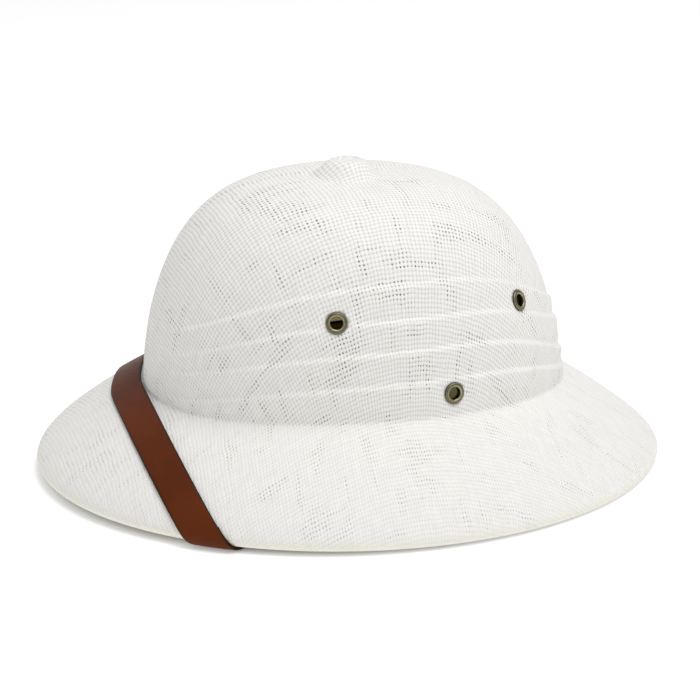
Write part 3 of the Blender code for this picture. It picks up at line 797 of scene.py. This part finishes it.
def step_over(turn, along, heading, distance):
    """One straight step over the surface: the change of turn and along that goes the
    distance in the heading, from the two slopes' products. The heading is then laid
    flat on the surface again."""
    _, first, second, _ = sheet_steps(turn, along)
    way = heading * np.asarray(distance)[..., None]
    ff, fs, ss = (np.sum(a * b, -1) for a, b in
                  ((first, first), (first, second), (second, second)))
    wf, ws = np.sum(way * first, -1), np.sum(way * second, -1)
    size = ff * ss - fs * fs
    turn = turn + (wf * ss - ws * fs) / size
    along = along + (ws * ff - wf * fs) / size
    normal = sheet_steps(turn, along)[3]
    flat = heading - normal * np.sum(heading * normal, -1)[..., None]
    return turn, along, unit(flat), normal


def turned_about(vector, axis, angle):
    """A vector square to an axis, turned about it."""
    return vector * math.cos(angle) + np.cross(axis, vector) * math.sin(angle)


def strap_path(forward, bend):
    """Turn, along and heading of the strap's middle line at each walking step, from the
    front centre to its end under the brim, as on the wearer's left. It goes straight over
    the surface but for the bend round the crown."""
    reach = float(section_frame(np.float64(0.0))[4])
    turn, along = 0.0, math.asin(STRAP_FROM_CREASE / reach) / (0.5 * math.pi)
    normal = sheet_steps(turn, along)[3]
    heading = turned_about(np.array((1.0, 0.0, 0.0)), normal, -math.radians(forward))
    path = [(turn, along, heading)]
    bent = 0.0
    while path[-1][1] < 3.0 and len(path) < WALK_LONGEST:
        turn, along, heading, normal = step_over(*path[-1], WALK_STEP)
        wanted = math.radians(bend) * float(
            smooth_step(len(path) * WALK_STEP, STRAP_BEND_START, STRAP_BEND_END))
        heading = turned_about(heading, normal, wanted - bent)
        bent = wanted
        path.append((float(turn), float(along), heading))
    turns, alongs, headings = zip(*path)
    return np.array(turns), np.array(alongs), np.array(headings)


def along_path(path, run):
    """Turn, along and heading at distances from the front centre."""
    steps = np.arange(len(path[0])) * WALK_STEP
    turn, along = np.interp(run, steps, path[0]), np.interp(run, steps, path[1])
    heading = np.stack([np.interp(run, steps, path[2][:, axis]) for axis in range(3)], -1)
    return turn, along, unit(heading)


def strap_profile(width):
    """Section of the strap, across and up, with rounded edges."""
    half, thick = 0.5 * width, STRAP_THICKNESS
    side = [(half - 0.0006, 0.0), (half - 0.0002, 0.0002), (half, 0.0005),
            (half, 0.0009), (half - 0.0003, 0.00125), (half - 0.0008, thick - 0.00006),
            (half - 0.0016, thick)]
    across = np.linspace(1.0, -1.0, 9)[1:-1]
    top = [(value * (half - 0.0025), thick) for value in across]
    under = [(value * (half - 0.0006), 0.0) for value in -across]
    other = [(-value, height) for value, height in side[::-1]]
    return np.array(side + top + other + under)


def strap_points(width):
    """Points of the strap's sections from the right end to the left end. Each profile
    point lies off the middle line by a walk square to it, and stands on the surface's
    normal. Gives the points, the runs and the profile."""
    profile = strap_profile(width)
    sides, runs = [], []
    for row in STRAP_SIDES:
        path = strap_path(row["forward"], row["bend"])
        last = (len(path[0]) - 2) * WALK_STEP
        run = np.linspace(0.0, last, 1 + round(last / STRAP_STATION))
        turn, along, heading = along_path(path, run)
        turn, along, heading = (np.repeat(value[:, None], len(profile), axis=1)
                                for value in (turn, along, heading))
        normal = sheet_steps(turn, along)[3]
        across = unit(np.cross(heading, normal))
        distance = np.broadcast_to(profile[:, 0] / STRAP_CROSS_STEPS, turn.shape)
        for _ in range(STRAP_CROSS_STEPS):
            turn, along, across, normal = step_over(turn, along, across, distance)
        point, _, _, normal = sheet_steps(turn, along)
        point = point + normal * profile[:, 1][None, :, None]
        sides.append(point * np.array((row["sign"], 1.0, 1.0)))
        runs.append(run)
    left, right = sides
    points = np.concatenate((right[:0:-1], left))
    run = np.concatenate((-runs[1][:0:-1], runs[0]))
    return points, run, profile


def rivet_frames():
    """Side, place and outward direction of each rivet, on the strap's outer side."""
    frames = []
    for row in STRAP_SIDES:
        path = strap_path(row["forward"], row["bend"])
        run = (len(path[0]) - 2) * WALK_STEP - STRAP_END_MARGIN
        turn, along, _ = along_path(path, run)
        point, _, _, normal = sheet_steps(turn, along)
        flip = np.array((row["sign"], 1.0, 1.0))
        frames.append((row["side"], (point + normal * STRAP_THICKNESS) * flip,
                       normal * flip))
    return frames


def dress(piece, slot, material, *nodes):
    """Gives a piece its material, and puts it on the hat in place of its nodes. The slot is not
    used.
    """
    if material is not None:
        piece.data.materials.append(material)
    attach(piece, "root")
    if nodes:
        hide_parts(*nodes)
    return piece


class HELMET_OT_straw(bpy.types.Operator):
    """Make the straw shell with its pleats, rolled rim and eyelet seats."""

    bl_idname = "helmet.straw"
    bl_label = "Straw shell"

    def execute(self, context):
        settings = context.scene.helmet_straw
        turn = 2.0 * np.pi * np.arange(COLUMNS) / COLUMNS
        outer, inner = outer_straw(turn, settings.pleat_step), inner_straw(turn)
        rows = np.concatenate((outer, inner))
        top = smooth_crown(0.0, 1.0)
        ceiling = smooth_crown(0.0, 1.0, 0.0) - np.array((0.0, 0.0, STRAW_WALL))
        points = np.concatenate((rows.reshape(-1, 3), top[None], ceiling[None]))
        count = len(rows)
        first = np.arange(COLUMNS)
        fans = (fan(count * COLUMNS, first, True),
                fan(count * COLUMNS + 1, (count - 1) * COLUMNS + first, False))
        piece = new_piece("straw_hat_shell", points, grid_faces(count, COLUMNS), fans)

        peak = np.broadcast_to(top, (1, COLUMNS, 3))
        step = np.linalg.norm(np.diff(outer, axis=0, prepend=peak), axis=-1)
        radius = np.cumsum(step, axis=0)
        plan = np.arctan2(outer[..., 0], -(outer[..., 1] - CROWN_SET_BACK))
        flat = np.stack((radius * np.sin(plan), radius * np.cos(plan)), -1) / WEAVE_SPAN
        inside = np.stack((inner[..., 0], inner[..., 1]), -1) / WEAVE_SPAN
        flat = np.concatenate((flat, inside)).reshape(-1, 2)
        set_map(piece, "weave", np.concatenate((flat, ((0.0, 0.0), (0.0, 0.0)))) + 0.5)
        out = np.zeros(rows.shape[:2])
        roll_start = len(outer) - ROLL_ROWS
        out[roll_start - BRIM_ROWS:len(outer)] = 1.0
        share = np.linspace(0.0, 1.0, BRIM_ROWS)
        rim = np.zeros_like(out)
        rim[roll_start - BRIM_ROWS:roll_start] = smooth_step(share, 0.78, 0.97)[:, None]
        rim[roll_start:] = 1.0
        set_value(piece, "brim", np.concatenate((out.ravel(), (0.0, 0.0))))
        set_value(piece, "rim", np.concatenate((rim.ravel(), (0.0, 1.0))))

        piece.data.materials.append(straw_material(settings))
        piece.data.materials.append(cloth_material(
            "crown_cloth", tuple(settings.lining_colour), 0.0016))
        index = np.zeros(len(piece.data.polygons), np.int32)
        quads = (count - 1) * COLUMNS
        index[(len(outer) + INNER_ROLL_ROWS - 1) * COLUMNS:quads] = 1
        index[quads + COLUMNS:] = 1
        piece.data.polygons.foreach_set("material_index", index)
        cut_seats(piece)
        dress(piece, "straw", None, "straw_shell")
        return {"FINISHED"}


class HELMET_OT_lining(bpy.types.Operator):
    """Make the olive cloth facing under the brim, which glows with painted light."""

    bl_idname = "helmet.lining"
    bl_label = "Brim lining"

    def execute(self, context):
        settings = context.scene.helmet_straw
        turn = 2.0 * np.pi * np.arange(COLUMNS) / COLUMNS
        share = np.linspace(LINING_INNER_SHARE, LINING_OUTER_SHARE, LINING_ROWS)[:, None]
        depth = STRAW_WALL + CLEARANCE
        upper = in_space(turn, *brim_section(turn, share, depth)[:2])
        from_hem = (share[::-1] - LINING_INNER_SHARE) / LINING_HEM_SHARE
        swell = 1.0 - LINING_HEM_THINNING * np.exp(-from_hem ** 2)
        under = in_space(turn, *brim_section(turn, share[::-1], depth + LINING_WALL * swell)[:2])
        rows = np.concatenate((upper, under))
        quads = grid_faces(len(rows), COLUMNS, True)[:, ::-1]
        piece = new_piece("brim_facing", rows, quads)
        cloth = cloth_material("brim_cloth", tuple(settings.lining_colour), 0.0012)
        shader = cloth.node_tree.nodes["Principled BSDF"]
        # Painted light: the cloth under the brim glows in its own colour, standing in for the
        # light that reaches it.
        shader.inputs["Emission Color"].default_value = tuple(settings.lining_colour)
        shader.inputs["Emission Strength"].default_value = settings.lining_painted_light
        dress(piece, "lining", cloth, "brim_lining")
        return {"FINISHED"}


class HELMET_OT_strap(bpy.types.Operator):
    """Make the leather strap over the front of the hat."""

    bl_idname = "helmet.strap"
    bl_label = "Leather strap"

    def execute(self, context):
        settings = context.scene.helmet_strap
        points, run, profile = strap_points(settings.width)
        rows, sides = points.shape[:2]
        caps = [[list(range(sides))],
                [list(range((rows - 1) * sides, rows * sides))[::-1]]]
        piece = new_piece("leather_strap", points, grid_faces(rows, sides), caps)
        half = 0.5 * settings.width
        near = smooth_step(np.abs(profile[:, 0]), half - 0.0011, half - 0.0002)
        edge = np.broadcast_to(near, (rows, sides))
        set_value(piece, "edge", edge)
        flat = np.stack((np.broadcast_to(profile[:, 0] / settings.width + 0.5, (rows, sides)),
                         np.broadcast_to((run[:, None] + 0.25) / 0.5, (rows, sides))), -1)
        set_map(piece, "strap", flat.reshape(-1, 2))
        piece.data.set_sharp_from_angle(angle=math.radians(50.0))
        dress(piece, "leather", leather_material(settings), "chin_strap")
        return {"FINISHED"}


class HELMET_OT_brass(bpy.types.Operator):
    """Make the six eyelets and the strap's two rivets."""

    bl_idname = "helmet.brass"
    bl_label = "Eyelets and rivets"

    def execute(self, context):
        material = brass_material(context.scene.helmet_brass)
        hole, rise = 0.5 * EYELET_HOLE_DIAMETER, EYELET_FLANGE_RISE
        front = 0.5 * EYELET_FLANGE_DIAMETER
        back = 0.5 * EYELET_BACK_FLANGE_DIAMETER
        seat = CLEARANCE - EYELET_SEAT_SINK
        rear = -EYELET_SEAT_SINK - EYELET_GRIP - CLEARANCE
        barrel = hole + EYELET_BARREL_WALL
        middle, reach = 0.5 * (hole + front), 0.5 * (front - hole)
        angle = np.linspace(np.pi, 0.0, 13)
        dome = [(middle + reach * math.cos(a), seat + rise * math.sin(a) ** 0.8)
                for a in angle]
        profile = dome + [(front, seat), (barrel, seat), (barrel, rear), (back, rear),
                          (0.5 * (hole + back), rear - EYELET_BACK_FLANGE_RISE),
                          (hole, rear - 0.5 * EYELET_BACK_FLANGE_RISE)]
        crest = [0.0, 0.1, 0.45, 0.9, 1.0, 0.8, 0.45, 0.30, 0.35, 0.5, 0.4, 0.1, 0.0]
        crest = np.array(crest + [0.0] * (len(profile) - len(dome)))
        for name, centre, normal in eyelet_frames():
            points = turned_points(profile, centre, normal)
            quads = grid_faces(len(profile), TURNED_SIDES, True)
            piece = new_piece("brass_" + name, points, quads)
            set_value(piece, "crest", np.repeat(crest, TURNED_SIDES))
            piece.data.set_sharp_from_angle(angle=math.radians(60.0))
            dress(piece, "brass", material, name)
        head = 0.5 * RIVET_HEAD_DIAMETER
        angle = np.linspace(0.0, 0.5 * np.pi, 9)
        low = RIVET_HEAD_CLEARANCE
        edge = RIVET_EDGE_SHARE * RIVET_HEAD_RISE
        dome = [(head * math.sin(a), low + edge + (RIVET_HEAD_RISE - edge) * math.cos(a))
                for a in angle[1:]]
        profile = dome + [(head, low), (RIVET_SHANK_RADIUS, low),
                          (RIVET_SHANK_RADIUS, -RIVET_SHANK_LENGTH)]
        for side, centre, normal in rivet_frames():
            points = turned_points(profile, centre, normal).reshape(-1, 3)
            tip = centre + normal * (low + RIVET_HEAD_RISE)
            foot = centre - normal * RIVET_SHANK_LENGTH
            points = np.concatenate((points, tip[None], foot[None]))
            ring = np.arange(TURNED_SIDES)
            total = len(profile) * TURNED_SIDES
            fans = (fan(total, ring, True),
                    fan(total + 1, total - TURNED_SIDES + ring, False))
            piece = new_piece(f"strap_rivet_head_{side}", points,
                              grid_faces(len(profile), TURNED_SIDES), fans)
            crest = np.linspace(1.0, 0.2, len(profile))
            set_value(piece, "crest", np.concatenate((
                np.repeat(crest, TURNED_SIDES), (1.0, 0.0))))
            piece.data.set_sharp_from_angle(angle=math.radians(60.0))
            dress(piece, "brass", material, f"strap_rivet_{side}")
        return {"FINISHED"}


def soft_light(name, place, aim, size, power):
    """A square area light at a place, turned to its aim."""
    lamp = bpy.data.lights.new(name, "AREA")
    lamp.size, lamp.energy = size, power
    item = bpy.data.objects.new(name, lamp)
    item.location = place
    item.rotation_euler = (Vector(aim) - item.location).to_track_quat("-Z", "Y").to_euler()
    bpy.context.scene.collection.objects.link(item)


class HELMET_OT_stage(bpy.types.Operator):
    """Make the pale floor, the soft lights and the camera."""

    bl_idname = "helmet.stage"
    bl_label = "Stage"

    def execute(self, context):
        scene, settings = context.scene, context.scene.helmet_stage
        angle = 2.0 * np.pi * np.arange(FLOOR_SIDES) / FLOOR_SIDES
        spread = np.concatenate((np.linspace(1.12, 0.90, 23)[::-1], (1.5, 3.0, 12.0, 50.0)))
        rings = np.stack(np.broadcast_arrays(
            0.5 * BRIM_WIDTH * spread[:, None] * np.cos(angle),
            0.5 * BRIM_LENGTH * spread[:, None] * np.sin(angle), 0.0), -1)
        quads = grid_faces(len(spread), FLOOR_SIDES)
        floor = new_piece("floor", rings, quads, [[list(range(FLOOR_SIDES))]])
        pale = plain_material("pale_floor", tuple(settings.floor_colour), 0.9)
        shader = pale.node_tree.nodes["Principled BSDF"]
        shader.inputs["Specular IOR Level"].default_value = 0.0
        shader.inputs["Emission Color"].default_value = (1.0, 1.0, 1.0, 1.0)
        under = pale.node_tree.nodes.new("ShaderNodeAttribute")
        under.attribute_name = "open"
        pale.node_tree.links.new(under.outputs["Fac"], shader.inputs["Emission Strength"])
        # Painted shadow: the floor's glow fades out under the hat and near the rim, which paints
        # a contact shadow round the brim.
        spread = np.linalg.norm(rings / (0.5 * BRIM_WIDTH, 0.5 * BRIM_LENGTH, 1.0), axis=-1)
        glow = settings.floor_glow * smooth_step(spread, 0.90, 1.04)
        set_value(floor, "open", glow.ravel())
        floor.data.materials.append(pale)
        scene.world = scene.world or bpy.data.worlds.new("surroundings")
        scene.world.use_nodes = True
        sky = scene.world.node_tree.nodes.get("Background")
        sky.inputs["Color"].default_value = (1.0, 1.0, 1.0, 1.0)
        sky.inputs["Strength"].default_value = settings.sky_strength
        aim = CAMERA_AIM
        soft_light("key_light", (0.30, 0.30, 1.72), aim, 1.1, settings.key_power)
        camera = bpy.data.cameras.new("camera")
        camera.sensor_width = SENSOR
        camera.lens = SENSOR * CAMERA_DISTANCE / CAMERA_WIDTH
        camera.shift_y = CAMERA_SHIFT_UP
        item = bpy.data.objects.new("camera", camera)
        flat = CAMERA_DISTANCE * math.cos(CAMERA_ELEVATION)
        item.location = (aim[0] + flat * math.cos(CAMERA_TURN),
                         aim[1] - flat * math.sin(CAMERA_TURN),
                         aim[2] + CAMERA_DISTANCE * math.sin(CAMERA_ELEVATION))
        item.rotation_euler = (0.5 * math.pi - CAMERA_ELEVATION, 0.0,
                               0.5 * math.pi - CAMERA_TURN)
        scene.collection.objects.link(item)
        scene.camera = item
        scene.view_settings.view_transform = "Standard"
        return {"FINISHED"}


class HELMET_PT_panel(bpy.types.Panel):
    """Lists the hat's operators and settings."""

    bl_idname = "HELMET_PT_panel"
    bl_label = "Pith Helmet"
    bl_space_type = "VIEW_3D"
    bl_region_type = "UI"
    bl_category = "Pith Helmet"

    def draw(self, context):
        layout, scene = self.layout, context.scene
        for group, names in (
                (scene.helmet_straw, ("pleat_step", "thread_pitch", "straw_colour",
                                      "rim_colour", "pinhole_painted_shade", "lining_colour",
                                      "lining_painted_light")),
                (scene.helmet_strap, ("width", "leather_colour", "edge_colour")),
                (scene.helmet_brass, ("brass_colour", "tarnish_colour")),
                (scene.helmet_stage, ("floor_colour", "floor_glow", "key_power",
                                      "sky_strength"))):
            for name in names:
                layout.prop(group, name)
        for operator in OPERATORS:
            layout.operator(operator.bl_idname)


OPERATORS = (HELMET_OT_straw, HELMET_OT_lining, HELMET_OT_strap, HELMET_OT_brass,
             HELMET_OT_stage)
GROUPS = (("helmet_straw", StrawSettings), ("helmet_strap", StrapSettings),
          ("helmet_brass", BrassSettings), ("helmet_stage", StageSettings))


def register():
    """Adds the settings, operators and panel."""
    for name, group in GROUPS:
        bpy.utils.register_class(group)
        setattr(bpy.types.Scene, name, bpy.props.PointerProperty(type=group))
    for item in (*OPERATORS, HELMET_PT_panel):
        bpy.utils.register_class(item)


def unregister():
    """Takes the settings, operators and panel away."""
    for item in (HELMET_PT_panel, *OPERATORS[::-1]):
        bpy.utils.unregister_class(item)
    for name, group in GROUPS[::-1]:
        delattr(bpy.types.Scene, name)
        bpy.utils.unregister_class(group)


def main():
    """Makes the pieces in order."""
    register()
    bpy.ops.helmet.straw()
    bpy.ops.helmet.lining()
    bpy.ops.helmet.strap()
    bpy.ops.helmet.brass()
    bpy.ops.helmet.stage()


if __name__ == "__main__":
    main()
